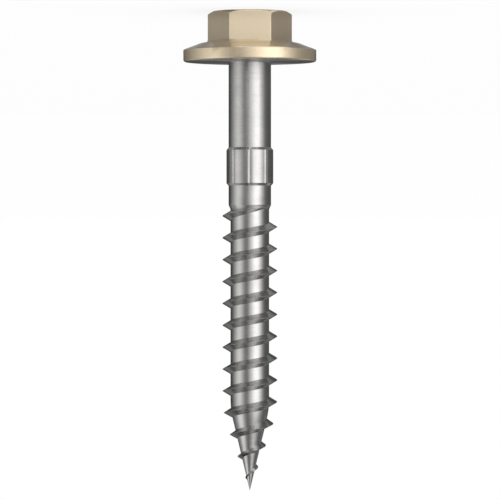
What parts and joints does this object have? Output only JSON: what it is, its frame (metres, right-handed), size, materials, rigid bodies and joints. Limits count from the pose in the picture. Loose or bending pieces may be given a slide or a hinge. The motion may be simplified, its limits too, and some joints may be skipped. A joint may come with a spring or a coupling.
{
  "type": "flanged hex head screw",
  "caption": "Steel timber screw with a painted, flanged hexagon head, a plain shank with a grooved collar, a coarse right-handed thread and a gimlet point.",
  "frame": {"origin": "centre of the flat top of the hexagon head, which the screw stands on", "axes": "+Z along the screw's axis from the head to the point; +X through a corner of the hexagon and +Y through the middle of one of its faces"},
  "size_m": [0.0154, 0.0154, 0.0559],
  "materials": {
    "steel": "satin zinc-plated carbon steel; the hexagon and the flange's top and rim are painted glossy beige"
  },
  "bodies": {
    "root": {"screw": "steel"}
  },
  "joints": []
}
